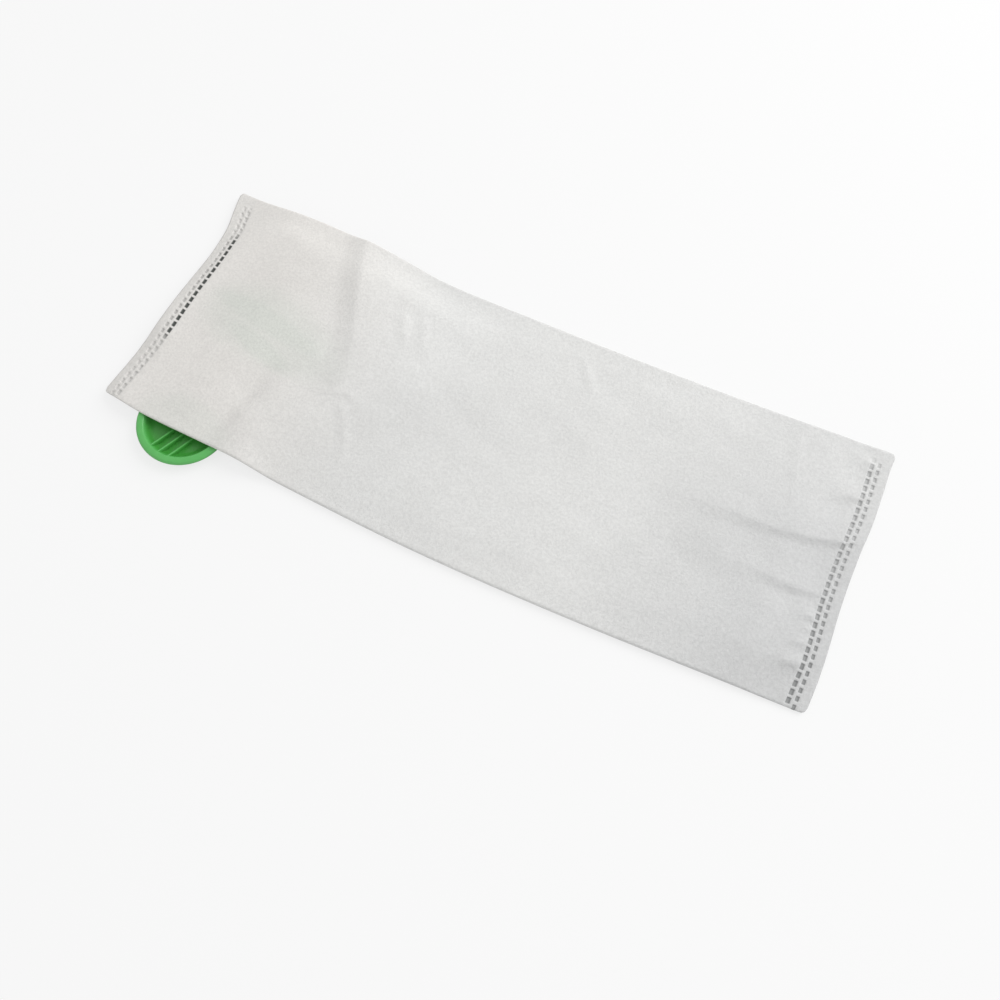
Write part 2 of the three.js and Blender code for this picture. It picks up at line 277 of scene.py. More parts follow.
def finish_from(name, sockets):
    """A material with a Principled surface. sockets gives its values for the graph of the material."""
    material = bpy.data.materials.new(name)
    material.use_nodes = True
    graph = Graph(material.node_tree)
    surface = graph.node("ShaderNodeBsdfPrincipled", None, sockets(graph))
    graph.node("ShaderNodeOutputMaterial", None, {"Surface": surface})
    return material


def moulded_green(graph):
    """Satin polypropylene with a fine spark-eroded grain and the faint clouding of its pigment.

    Below the grip's rim its green is painted darker, as shade in the dish. It is a little glossier in
    patches, where it is rubbed.
    """
    where = graph.node("ShaderNodeTexCoord", output="Object")
    height = graph.node("ShaderNodeSeparateXYZ", None, {"Vector": where}, "Z") * (1 / MILLIMETRE)
    # Painted shade: darker green below the grip's rim
    painted_dish_shade = graph.fade(height, GRIP_TOP - 0.3, GRIP_TOP - 2.6)
    clouds = graph.fade(graph.noise(where, 160, detail=3), 0.3, 0.7)
    rubbed = graph.fade(graph.noise(where, 420, detail=4), 0.56, 0.75)
    pigment = graph.mix(clouds, COLLAR_GREEN_CLOUD, COLLAR_GREEN)
    return {
        "Base Color": graph.mix(painted_dish_shade, pigment, SHADED_DISH_GREEN),
        "Roughness": 0.28 + 0.1 * graph.noise(where, 900) - 0.06 * rubbed,
        "Normal": graph.bump(graph.noise(where, 2600, roughness=0.7), 0.00006, 0.5),
    }


def row_tree():
    """Nodes that repeat a rib along X, the whole row centred on the rib's own place.

    Gives the tree and the identifiers of its inputs.
    """
    tree = bpy.data.node_groups.new("row_of_ribs", "GeometryNodeTree")
    kinds = {
        "Rib": "NodeSocketGeometry",
        "Count": "NodeSocketInt",
        "Pitch": "NodeSocketFloat",
        "Finish": "NodeSocketMaterial",
    }
    identifiers = {
        name: tree.interface.new_socket(name, in_out="INPUT", socket_type=kind).identifier
        for name, kind in kinds.items()
    }
    tree.interface.new_socket("Ribs", in_out="OUTPUT", socket_type="NodeSocketGeometry")
    graph = Graph(tree)
    given = {name: graph.node("NodeGroupInput", output=name) for name in kinds}
    first = (given["Count"] - 1) * given["Pitch"] * -0.5
    line = graph.node("GeometryNodeMeshLine", {"mode": "OFFSET"}, {
        "Count": given["Count"],
        "Start Location": graph.node("ShaderNodeCombineXYZ", None, {"X": first}),
        "Offset": graph.node("ShaderNodeCombineXYZ", None, {"X": given["Pitch"]}),
    })
    ribs = graph.node("GeometryNodeInstanceOnPoints", None, {"Points": line, "Instance": given["Rib"]})
    plain = graph.node("GeometryNodeRealizeInstances", None, {"Geometry": ribs})
    finished = graph.node("GeometryNodeSetMaterial", None, {"Geometry": plain, "Material": given["Finish"]})
    graph.node("NodeGroupOutput", None, {"Ribs": finished})
    return tree, identifiers


ROW_TREE, ROW_INPUTS = row_tree()


def row_of_ribs(rib, count, pitch, finish):
    """The mesh of a row of ribs, each like the one given, in millimetres."""
    mesh = bpy.data.meshes.new("rib")
    mesh.from_pydata(rib.points, [], rib.faces)
    single = bpy.data.objects.new("rib", mesh)
    bpy.context.scene.collection.objects.link(single)
    row = single.modifiers.new("row", "NODES")
    row.node_group = ROW_TREE
    row[ROW_INPUTS["Count"]] = count
    row[ROW_INPUTS["Pitch"]] = pitch
    row[ROW_INPUTS["Finish"]] = finish
    evaluated = single.evaluated_get(bpy.context.evaluated_depsgraph_get())
    ribs = bpy.data.meshes.new_from_object(evaluated)
    bpy.data.objects.remove(single)
    return ribs


def dish_height(radius):
    """Height of the grip's floor: flat in the middle, then sweeping up to the rim."""
    share = np.clip((radius - DISH_FLOOR_RADIUS) / (DISH_RADIUS - DISH_FLOOR_RADIUS), 0, 1)
    return DISH_FLOOR + (GRIP_TOP - 0.35 - DISH_FLOOR) * share**2


def thumb_rib(thickness=0.95, height=2.1, rim_rise=1.6, lean=0.16):
    """One upright fin from the grip's rim inwards, its foot in the floor and its top edge rounded.

    It gains rim_rise in height up to the rim, and it leans sideways by a share of its run.
    """
    rib = Moulding()
    rows = []
    half = thickness / 2
    for along in np.linspace(-DISH_RADIUS - 0.4, THUMB_RIB_END, 31):
        floor = float(dish_height(abs(along)))
        top = max(DISH_FLOOR + height + rim_rise * (along / DISH_RADIUS) ** 2, floor - 0.15)
        section = [
            (-half, floor - 0.7),
            (-half, top - 0.4),
            (-half * 0.72, top - 0.1),
            (-half * 0.25, top),
            (half * 0.25, top),
            (half * 0.72, top - 0.1),
            (half, top - 0.4),
            (half, floor - 0.7),
        ]
        rows.append(np.array([(x + lean * along, along, z) for x, z in section]))
    rib.add_rows(rows, joined=False, capped=True)
    return rib


def add_stiffener(moulding, low, high):
    """One rib beneath the plate, its top sunk into it, between two corners seen from above."""
    moulding.add_bar((*low, STIFFENER_BOTTOM), (*high, STIFFENER_TOP))


green_finish = finish_from("moulded_green", moulded_green)

collar_moulding = Moulding()
wall_middle = (MOUTH_RADIUS + MOUTH_RING_RADIUS) / 2
inner_loop = plate_outline(0)
inner_loop = inner_loop / np.linalg.norm(inner_loop, axis=1, keepdims=True) * wall_middle
collar_moulding.add_rows([
    at_height(inner_loop, PLATE_TOP),
    at_height(plate_outline(0.5), PLATE_TOP),
    at_height(plate_outline(0.15), PLATE_TOP - 0.15),
    at_height(plate_outline(0), PLATE_TOP - 0.5),
    at_height(plate_outline(0), SKIRT_BOTTOM + 0.3),
    at_height(plate_outline(0.3), SKIRT_BOTTOM),
    at_height(plate_outline(SKIRT_WALL - 0.3), SKIRT_BOTTOM),
    at_height(plate_outline(SKIRT_WALL), SKIRT_BOTTOM + 0.3),
    at_height(plate_outline(SKIRT_WALL), PLATE_UNDERSIDE),
    at_height(inner_loop, PLATE_UNDERSIDE),
])
collar_moulding.add_turned([
    (MOUTH_RADIUS, SEAT_DEPTH),
    (SEAT_RADIUS, SEAT_DEPTH),
    (SEAT_RADIUS, 0.2),
    (SEAT_RADIUS + 0.2, 0),
    (MOUTH_RING_RADIUS - 0.4, 0),
    (MOUTH_RING_RADIUS - 0.1, 0.12),
    (MOUTH_RING_RADIUS, 0.45),
    (MOUTH_RING_RADIUS, MOUTH_RING_TOP - 0.5),
    (MOUTH_RING_RADIUS - 0.15, MOUTH_RING_TOP - 0.15),
    (MOUTH_RING_RADIUS - 0.5, MOUTH_RING_TOP),
    (MOUTH_RADIUS + 0.5, MOUTH_RING_TOP),
    (MOUTH_RADIUS + 0.15, MOUTH_RING_TOP - 0.15),
    (MOUTH_RADIUS, MOUTH_RING_TOP - 0.5),
])
dish_radii = np.linspace(DISH_RADIUS, DISH_FLOOR_RADIUS, 13)
collar_moulding.add_turned([
    (0, 0),
    (DISH_FLOOR_RADIUS + 1, 0),
    (DISH_FLOOR_RADIUS + 1.6, 0.25),
    (DISH_RADIUS + 1.2, PLATE_UNDERSIDE),
    (GRIP_RADIUS - 0.6, PLATE_UNDERSIDE),
    (GRIP_RADIUS - 0.15, PLATE_UNDERSIDE + 0.15),
    (GRIP_RADIUS, PLATE_UNDERSIDE + 0.5),
    (GRIP_RADIUS, GRIP_TOP - 1.1),
    (GRIP_RADIUS - 0.1, GRIP_TOP - 0.7),
    (GRIP_RADIUS - 0.35, GRIP_TOP - 0.35),
    (GRIP_RADIUS - 0.75, GRIP_TOP - 0.1),
    (GRIP_RADIUS - 1.2, GRIP_TOP),
    (DISH_RADIUS + 0.8, GRIP_TOP),
    (DISH_RADIUS + 0.3, GRIP_TOP - 0.12),
    *((radius, float(dish_height(radius))) for radius in dish_radii),
    (DISH_FLOOR_RADIUS / 2, DISH_FLOOR),
    (0, DISH_FLOOR),
], GRIP_CENTRE, joined=False)
thumb_ribs = row_of_ribs(thumb_rib(), THUMB_RIBS, THUMB_RIB_PITCH, green_finish)
collar_moulding.add_mesh(thumb_ribs, (THUMB_RIBS_MIDDLE, GRIP_CENTRE[1]))

half_rib = STIFFENER_THICKNESS / 2
neck_rib = Moulding()
add_stiffener(neck_rib, (-half_rib, GRIP_CENTRE[1] + DISH_FLOOR_RADIUS), (half_rib, -wall_middle))
collar_moulding.add_mesh(row_of_ribs(neck_rib, 2, NECK_RIBS_APART, green_finish), (0, 0))
skirt_middle = SKIRT_WALL / 2
for low, high in [
    ((wall_middle, -half_rib), (PLATE_HALF_WIDTH - skirt_middle, half_rib)),
    ((skirt_middle - PLATE_HALF_WIDTH, -half_rib), (-wall_middle, half_rib)),
    ((-half_rib, wall_middle), (half_rib, PLATE_HALF_LENGTH - skirt_middle)),
]:
    add_stiffener(collar_moulding, low, high)
green_collar = collar_moulding.piece("green_collar", green_finish)
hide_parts("collar")
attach(green_collar, "root")


# Mouth seal
#
# A soft black rubber ring pressed into the seat inside the collar's mouth. Its thin lip leans in
# and up, and closes round the cleaner's inlet. It is moulded by itself and pushed in last.

SEAL_RADIUS = 20.3
SEAL_BOTTOM = 0.2
SEAL_TOP = 1.6
LIP_RADIUS = 17.0
LIP_TOP = 2.7
SEAL_BLACK = (0.022, 0.023, 0.024, 1)
SEAL_BLOOM = (0.042, 0.043, 0.044, 1)


def soft_rubber(graph):
    """Matt rubber, with the grey bloom that comes up in patches on its skin."""
    where = graph.node("ShaderNodeTexCoord", output="Object")
    bloom = graph.fade(graph.noise(where, 260, detail=5), 0.45, 0.7)
    return {
        "Base Color": graph.mix(bloom, SEAL_BLACK, SEAL_BLOOM),
        "Roughness": 0.62 + 0.16 * bloom,
        "Normal": graph.bump(graph.noise(where, 3200), 0.00004, 0.6),
    }


seal_ring = Moulding()
seal_ring.add_turned([
    (MOUTH_RADIUS - 0.5, SEAL_BOTTOM + 0.05),
    (MOUTH_RADIUS, SEAL_BOTTOM),
    (SEAL_RADIUS - 0.2, SEAL_BOTTOM),
    (SEAL_RADIUS, SEAL_BOTTOM + 0.2),
    (SEAL_RADIUS, SEAL_TOP - 0.2),
    (SEAL_RADIUS - 0.2, SEAL_TOP),
    (MOUTH_RADIUS - 0.2, SEAL_TOP),
    (MOUTH_RADIUS - 0.7, SEAL_TOP + 0.15),
    (LIP_RADIUS + 0.5, LIP_TOP - 0.15),
    (LIP_RADIUS + 0.25, LIP_TOP),
    (LIP_RADIUS + 0.05, LIP_TOP - 0.1),
    (LIP_RADIUS, LIP_TOP - 0.35),
    (LIP_RADIUS + 0.2, LIP_TOP - 0.7),
    (MOUTH_RADIUS - 1, 0.8),
])
rubber_seal = seal_ring.piece("rubber_seal", finish_from("soft_rubber", soft_rubber))
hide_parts("mouth_seal")
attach(rubber_seal, "root")


# Fleece bag
#
# One sheet of white filter fleece, folded lengthwise into a flat tube. A hot wheel welds both ends
# through both layers with two staggered rows of points. It lies over the collar, which lifts it,
# and the weld at the far end draws gathers into it.

BAG_MIDDLE = (-0.65, 9.794)
BAG_LENGTH = 357.6
FLEECE = 0.8
LOOSE_AIR = 1.3
FOLD_AIR = 0.7
FOLD_BULGE = 1.0
FOLD_POINTS = 5
STIFF_FOLD = 18.0
REST_HEIGHT = 6.3
FAR_EDGE_HEIGHT = 6.0
OVER_COLLAR_AIR = 0.8
OVER_MOUTH_AIR = 0.6
FOLDS_AT_EDGE = 0.4
GATHERS_BELOW = 0.35
GATHERS_ABOVE = 0.65
MOUTH_IN_BAG = (MOUTH[0] - BAG_MIDDLE[0], MOUTH[1] - BAG_MIDDLE[1])

# What differs between the ends: the round of the corners, and the run over which the bag opens
COLLAR_CORNER, GATHERED_CORNER = 1.5, 2.4
OPENS_AT_COLLAR, OPENS_AT_GATHERS = 44, 24

# Edges measured along and across the bag, from its middle
NEAR_FOLD = (
    [-179, -165, -107, 0, 80, 135, 179],
    [-66.5, -68.6, -70.7, -74.0, -72.1, -69.3, -67.0],
)
FAR_FOLD = (
    [-179, -160, -120, -106, -80, -60, 0, 75, 136, 179],
    [64.5, 63.2, 62.8, 62.2, 61.2, 60.3, 60.3, 61.5, 63.9, 66.8],
)
COLLAR_END = (
    [-67, -52, -27, -4, 28, 42, 51, 60, 66],
    [-176.0, -174.3, -172.3, -172.2, -171.9, -173.3, -175.6, -177.6, -178.2],
)
GATHERED_END = (
    [-67, -50, -35, -20, 12, 28, 41, 60, 67],
    [179.3, 179.9, 179.6, 178.9, 179.1, 180.0, 179.9, 179.6, 180.0],
)

WELD_PITCH = 4.0
WELD_REACH = 66.0
STRIP_WIDTH = 11.5
STRIP_THICKNESS = 1.2
LAST_WELD_POINT = 63.0
WELD_FADE = 8.0
WELD_WALL = 0.35
WELD_DEPTH = 0.5
WELD_DEPTH_BELOW = 0.08
OUTER_ROW = {"from_end": 5.4, "across": 1.8, "along": 2.5, "shift": 2.0}
INNER_ROW = {"from_end": 8.6, "across": 2.0, "along": 2.9, "shift": 0.0}

# Folds and hollows beside the collar, each with its height and its reach to the left and right
COLLAR_FOLDS = [
    ([(-101.5, 66), (-97.5, 55), (-93, 41), (-84, 21), (-75.5, 0), (-73, -19), (-72, -46)], 2.1, 48, 11.5),
    ([(-116, -72), (-114, -58), (-112, -47), (-108, -35), (-104, -25), (-94, -15)], -2.0, 20, 9),
    ([(-56, 57), (-66, 48), (-73, 39), (-82, 30)], -1.1, 3, 4),
]

# Gathers that run back into the bag from the weld at the far end, written like the folds
GATHER_SPREAD = 2.4
GATHERS = [
    ([(169, 13), (158, 9.6), (140, 6.2), (116, 5.3), (84, 3), (62, 0.5), (41, -5)], 2.0, 3.4, 17),
    ([(159, -16.2), (149, -16.5), (132, -15.5), (120, -17.5), (88, -19)], 1.6, 3.8, 15),
    ([(168, -26), (155, -27.5)], 1.4, 3.2, 5),
    ([(168, -32), (158, -33.5)], 0.9, 3, 4),
    ([(168, -39), (154, -43.5)], 1.5, 3.2, 6),
    ([(168, -49), (152, -53)], 1.8, 3.5, 6),
    ([(168, -47), (153, -51), (138, -50), (110, -50), (80, -53)], 1.6, 11, 24),
    ([(168, 36.5), (156, 33.7), (147, 33.3)], 1.5, 3.2, 10),
    ([(171, 56), (162, 58.4), (150, 59)], 0.9, 5, 3),
]

# Slight creases from the packing
CREASE_HEIGHT = 0.6
CREASE_REACH = 3.2
CREASES = [
    [(-158, 3), (-158, 13), (-151, 22), (-140, 30)],
    [(-160, 31), (-144, 42)],
    [(-158, -28), (-151, -38), (-139, -44)],
    [(-78, -24), (-68, -19), (-58, -23)],
    [(-66, -27), (-58, -40), (-53, -56)],
    [(-61, 28), (-52, 10)],
    [(-52, 32), (-44, 13)],
    [(26, 50), (40, 30)],
    [(136, 54), (143, 18)],
]


def rise(share):
    """0 to 1, eased at both ends, as share goes from 0 to 1."""
    return 0.5 - 0.5 * np.cos(np.pi * np.clip(share, 0, 1))


def through(measured, at):
    """A smooth curve through measured places."""
    places, values = (np.array(row, float) for row in measured)
    slopes = np.gradient(values, places)
    at = np.clip(at, places[0], places[-1])
    i = np.clip(np.searchsorted(places, at) - 1, 0, len(places) - 2)
    run = places[i + 1] - places[i]
    t = (at - places[i]) / run
    start = (1 + 2 * t) * (1 - t) ** 2 * values[i] + t * (1 - t) ** 2 * run * slopes[i]
    end = t * t * (3 - 2 * t) * values[i + 1] - t * t * (1 - t) * run * slopes[i + 1]
    return start + end


def rounded_minimum(a, b, blend):
    """The lesser of two values, with the crease between them rounded off over blend."""
    overlap = np.maximum(blend - np.abs(a - b), 0) / blend
    return np.minimum(a, b) - overlap**2 * blend / 4


def distance_to_collar(x, y):
    """Distance on the table from the collar's outline, zero inside it."""
    dx, dy = x - MOUTH_IN_BAG[0], y - MOUTH_IN_BAG[1]
    across = dx * math.cos(COLLAR_SKEW) - dy * math.sin(COLLAR_SKEW)
    along = dx * math.sin(COLLAR_SKEW) + dy * math.cos(COLLAR_SKEW)
    beyond_side = np.maximum(np.abs(across) - PLATE_HALF_WIDTH + PLATE_CORNER, 0)
    beyond_end = np.maximum(np.abs(along) - PLATE_HALF_LENGTH + PLATE_CORNER, 0)
    plate = np.hypot(beyond_side, beyond_end) - PLATE_CORNER
    neck_middle = GRIP_CENTRE[1] / 2
    neck = np.hypot(
        np.maximum(np.abs(across) - NECK_HALF_WIDTH, 0),
        np.maximum(np.abs(along - neck_middle) + neck_middle, 0),
    )
    grip = np.hypot(across, along - GRIP_CENTRE[1]) - GRIP_RADIUS
    blend = 14
    return np.maximum(rounded_minimum(rounded_minimum(plate, neck, blend), grip, blend), 0)


def lift_by_collar(x, y, start, reach):
    """Height at which the collar holds the fleece, falling to the table over reach, outside start."""
    return REST_HEIGHT * (1 - rise((distance_to_collar(x, y) - start) / reach))


def crest(x, y, path, height, left, right, fades_from=0.5, spread=0.0):
    """A fold's height. It falls off to both sides, and its reach widens along the path by the spread.

    It fades from a share of its path to the end. A share below 0 has it faded a little at the start.
    """
    path = np.array(path, float)
    runs = np.diff(path, axis=0)
    lengths = np.hypot(runs[:, 0], runs[:, 1])
    raised = np.zeros_like(x)
    nearest = np.full_like(x, np.inf)
    travelled = 0.0
    for start, run, length in zip(path, runs, lengths):
        dx, dy = x - start[0], y - start[1]
        share = np.clip((dx * run[0] + dy * run[1]) / length**2, 0, 1)
        aside_x, aside_y = dx - share * run[0], dy - share * run[1]
        aside = np.hypot(aside_x, aside_y)
        to_left = (run[0] * aside_y - run[1] * aside_x) / length
        along = (travelled + share * length) / lengths.sum()
        reach = ((left + right) / 2 + (left - right) / 2 * np.tanh(to_left)) * (1 + spread * along)
        fading = 1 - rise((along - fades_from) / (1 - fades_from))
        here = height * fading * np.clip(1 - aside / reach, 0, 1) ** 1.3
        raised = np.where(aside < nearest, here, raised)
        nearest = np.minimum(nearest, aside)
        travelled += length
    return raised


def far_edge_lift(x, y):
    """The far fold is stiff, so beside the collar it stays up, and it comes down past the main fold."""
    off_seam = 0.3 + 0.7 * rise((x + BAG_LENGTH / 2) / 40)
    return FAR_EDGE_HEIGHT * off_seam * (1 - rise((x + 104) / 62)) * rise((y + 2) / 50)


def waves(x, y, seed, length, height, count=16):
    """Soft unevenness, as of fleece that has been rolled and packed."""
    random = np.random.default_rng(seed)
    total = np.zeros_like(x)
    for _ in range(count):
        turn, phase = random.uniform(0, 2 * np.pi, 2)
        size = length * random.uniform(0.6, 1.6)
        total += np.sin(2 * np.pi * (x * np.cos(turn) + y * np.sin(turn)) / size + phase)
    return height * total / math.sqrt(count)


def gather_height(x, y, from_end):
    """Height of the gathers, which the weld holds down at the seam."""
    at_seam = 0.25 + 0.75 * rise(from_end / STRIP_WIDTH)
    crests = (crest(x, y, *gather, fades_from=-0.3, spread=GATHER_SPREAD) for gather in GATHERS)
    return at_seam * sum(crests)


def weld_depth(from_end, across):
    """1 on the floor of a weld point and 0 outside it. The points get shallow near the far fold."""
    depth = np.zeros_like(across)
    for row in (OUTER_ROW, INNER_ROW):
        beside = np.abs((across - row["shift"] + WELD_PITCH / 2) % WELD_PITCH - WELD_PITCH / 2)
        along = np.clip((row["along"] / 2 - beside) / WELD_WALL, 0, 1)
        down = np.clip((row["across"] / 2 - abs(from_end - row["from_end"])) / WELD_WALL, 0, 1)
        depth = np.maximum(depth, along * down)
    return depth * rise((LAST_WELD_POINT - across) / WELD_FADE)


def bag_edges(station):
    """Where the upper layer starts and ends across the bag, drawn in at the rounded corners."""
    corner = GATHERED_CORNER if station > 0 else COLLAR_CORNER
    cut = max(corner - (BAG_LENGTH / 2 - abs(station)), 0)
    inset = corner - math.sqrt(corner**2 - cut**2) + FOLD_BULGE
    return through(NEAR_FOLD, station) + inset, through(FAR_FOLD, station) - inset


def bag_layers(x, y, near, far, from_end, opens_over):
    """Height of the lower layer's outside, and of the whole bag above it."""
    inwards = rise(np.minimum(y - near, far - y) / STIFF_FOLD)
    gathers = gather_height(x, y, from_end)
    folds = [crest(x, y, *fold) for fold in COLLAR_FOLDS]

    # The lower layer lies on the collar, is held up by the far fold, or lies on the table
    rested = -rounded_minimum(-lift_by_collar(x, y, 6, 26), -far_edge_lift(x, y), 2.5)
    low = rested + 0.6 * folds[0] * rise((y - 10) / 50) + GATHERS_BELOW * gathers

    # The upper layer is stretched from fold to fold, so it comes down from the collar more gently
    upper_reach = 40 + 48 * rise((y + 45) / 60)
    over_collar = np.maximum(lift_by_collar(x, y, 1, upper_reach) + OVER_COLLAR_AIR - rested, 0)
    over_mouth = OVER_MOUTH_AIR * (1 - rise(distance_to_collar(x, y) / 30))
    raised_share = rise(np.minimum((y - near) / 50, (far - y) / 24))

    # Air keeps the layers apart: least in the two folds, and none in the weld
    unevenness = waves(x, y, 11, 34, 0.16) + waves(x, y, 5, 13, 0.05)
    unevenness += sum(crest(x, y, crease, CREASE_HEIGHT, CREASE_REACH, CREASE_REACH) for crease in CREASES)
    air = FOLD_AIR + inwards * (LOOSE_AIR - FOLD_AIR + unevenness)
    air += raised_share * (over_collar + over_mouth)
    loose = 2 * FLEECE + air + sum(folds) * (FOLDS_AT_EDGE + (1 - FOLDS_AT_EDGE) * inwards)
    open_share = rise((from_end - STRIP_WIDTH) / opens_over)
    thick = STRIP_THICKNESS * (1 - open_share) + loose * open_share + GATHERS_ABOVE * gathers
    return low, thick


def bag_section(station, across, wall):
    """Points round the bag at a station: upper layer, far fold, lower layer and near fold.

    across runs over the sheet from fold to fold, and wall draws the points in, for the inner face.
    """
    from_end = BAG_LENGTH / 2 - abs(station)
    near, far = bag_edges(station)
    y = near + (far - near) * (across / WELD_REACH + 1) / 2
    share = (station + BAG_LENGTH / 2) / BAG_LENGTH
    x = through(COLLAR_END, y) * (1 - share) + through(GATHERED_END, y) * share

    opens_over = OPENS_AT_GATHERS if station > 0 else OPENS_AT_COLLAR
    low, thick = bag_layers(x, y, near, far, from_end, opens_over)
    pressed = weld_depth(from_end, across)
    wall = min(wall, thick.min() / 2 - 0.1)
    upper = low + thick - wall - WELD_DEPTH * pressed
    lower = low + wall + WELD_DEPTH_BELOW * pressed

    turn = np.radians(np.linspace(90, -90, FOLD_POINTS + 2))[1:-1]
    out = (FOLD_BULGE if wall == 0 else 0) * np.cos(turn)

    def fold(side, at):
        middle, half = (upper[at] + lower[at]) / 2, (upper[at] - lower[at]) / 2
        heights = middle + half * np.sin(turn)
        return np.column_stack([np.full(FOLD_POINTS, x[at]), y[at] + side * out, heights])

    return (
        np.column_stack([x, y, upper]),
        fold(1, -1),
        np.column_stack([x, y, lower]),
        fold(-1, 0),
    )


# Columns of the mesh: 12 to a weld point along the ends, 4 in the bag's body and 2 in its inner face
WELD_CELL = np.array([0, 0.45, 0.9, 1.1, 1.25, 1.45, 2, 2.55, 2.75, 2.9, 3.1, 3.55])
BODY_STEP = 3
INNER_STEP = 2
cells = np.concatenate([start + WELD_CELL for start in np.arange(-68, 68, WELD_PITCH)])
FINE_COLUMNS = np.append(cells[(cells >= -WELD_REACH) & (cells < WELD_REACH)], WELD_REACH)
COLUMNS = FINE_COLUMNS[::BODY_STEP]
INNER_COLUMNS = COLUMNS[::INNER_STEP]


def parts_of_ring(ring, count):
    """A ring's upper layer, far fold, lower layer and near fold, each in the order of bag_section."""
    lower_from = count + FOLD_POINTS
    near_from = lower_from + count
    return ring[:count], ring[count:lower_from], ring[lower_from:near_from][::-1], ring[near_from:][::-1]


class Sheet:
    """The folded sheet as one closed mesh, with the place of every point on the flat sheet."""

    def __init__(self):
        self.points = []
        self.flat = []
        self.faces = []

    def add(self, points, flat):
        """Adds points, and gives their indices."""
        first = sum(len(part) for part in self.points)
        self.points.append(points)
        self.flat.append(flat)
        return list(range(first, first + len(points)))

    def add_section(self, station, across, wall=0.0):
        """One ring of points, as its indices and the places in it where coarse columns stand."""
        upper, far, lower, near = bag_section(station, across, wall)
        flat = np.column_stack([across, np.full(len(across), station)])
        folds = np.full((FOLD_POINTS, 2), (0.0, station))
        edge = np.array([WELD_REACH, 0.0])
        ring = self.add(
            np.concatenate([upper, far, lower[::-1], near[::-1]]),
            np.concatenate([flat, folds + edge, flat[::-1], folds - edge]),
        )
        count = len(across)
        fold = list(range(FOLD_POINTS))
        coarse = list(range(0, count, BODY_STEP if count == len(FINE_COLUMNS) else 1))
        stops = []
        for layer in (0, count + FOLD_POINTS):
            stops += [layer + j for j in coarse] + [layer + count + j for j in fold]
        return ring, stops

    def join(self, first, second, leave_out=()):
        """Faces between two rings. Where one is finer, each of its coarse steps takes all its points."""
        (ring_a, stops_a), (ring_b, stops_b) = first, second
        if len(ring_a) == len(ring_b):
            stops_a = stops_b = list(range(len(ring_a)))
        for j in range(len(stops_a)):
            if j in leave_out:
                continue
            side_a = self.run(ring_a, stops_a, j)
            side_b = self.run(ring_b, stops_b, j)
            self.faces.append(side_a + side_b[::-1])

    def run(self, ring, stops, j):
        """The points of a ring from one stop to the next, both included."""
        if j + 1 < len(stops):
            return ring[stops[j]:stops[j + 1] + 1]
        return ring[stops[j]:] + [ring[0]]

    def close_end(self, ring, notch):
        """Closes a cut end over a notch, where the edges of the two welded layers part."""
        upper, far, lower, near = parts_of_ring(ring, len(notch))
        for j in range(len(notch) - 1):
            self.faces.append([upper[j], notch[j], notch[j + 1], upper[j + 1]])
            self.faces.append([notch[j], lower[j], lower[j + 1], notch[j + 1]])
        self.faces.append([notch[-1], upper[-1], *far, lower[-1]])
        self.faces.append([notch[0], upper[0], *near, lower[0]])


# Stations of the mesh: close over the weld points at both ends, and even in the bag's body
strip_lines = np.array([
    0, 0.5, 1.6, 3, 4.2, 4.6, 4.95, 5.4, 5.85, 6.2, 6.9, 7.6, 7.95, 8.6, 9.25, 9.6, 10.4, STRIP_WIDTH,
])
body_stations = np.linspace(STRIP_WIDTH - BAG_LENGTH / 2, BAG_LENGTH / 2 - STRIP_WIDTH, 160)[1:-1]

sheet = Sheet()
outer = [sheet.add_section(line - BAG_LENGTH / 2, FINE_COLUMNS) for line in strip_lines]
first_body = len(outer)
outer += [sheet.add_section(station, COLUMNS) for station in body_stations]
outer += [sheet.add_section(BAG_LENGTH / 2 - line, FINE_COLUMNS) for line in strip_lines[::-1]]
inner_from = 3
inner_stations = body_stations[inner_from:-inner_from]
inner = [sheet.add_section(station, INNER_COLUMNS, FLEECE) for station in inner_stations]

# The mouth's hole through the lower layer, with a patch of rings round it in both faces of the fleece
hole_radius = MOUTH_RING_RADIUS + 0.3
patch_half = 29
folds_at_mouth = [-70.5, 63.5]
across_mouth = np.interp(MOUTH_IN_BAG[1], folds_at_mouth, [-WELD_REACH, WELD_REACH])
first_column = int(np.searchsorted(INNER_COLUMNS, across_mouth - patch_half))
last_column = int(np.searchsorted(INNER_COLUMNS, across_mouth + patch_half))
first_station = int(np.searchsorted(body_stations, MOUTH_IN_BAG[0] - patch_half))
last_station = int(np.searchsorted(body_stations, MOUTH_IN_BAG[0] + patch_half))


def under_mouth(columns):
    """The faces of a ring that the patch takes out, for rings with these columns."""
    finer = (len(columns) - 1) // (len(INNER_COLUMNS) - 1)
    last = 2 * len(columns) + FOLD_POINTS - 1
    return {last - column for column in range(first_column * finer + 1, last_column * finer + 1)}


def round_patch(rings, columns):
    """Indices of the patch's border, in order, and the places in it where both faces have points."""
    count = len(columns)
    finer = (count - 1) // (len(INNER_COLUMNS) - 1)
    low, high = first_column * finer, last_column * finer
    below = [parts_of_ring(ring, count)[2] for ring, _ in rings]
    sides = [
        below[0][low:high],
        [row[high] for row in below[:-1]],
        below[-1][high:low:-1],
        [row[low] for row in below[:0:-1]],
    ]
    border, stops = [], []
    for side, step in zip(sides, (finer, 1, finer, 1)):
        stops += range(len(border), len(border) + len(side), step)
        border += side
    return border, stops


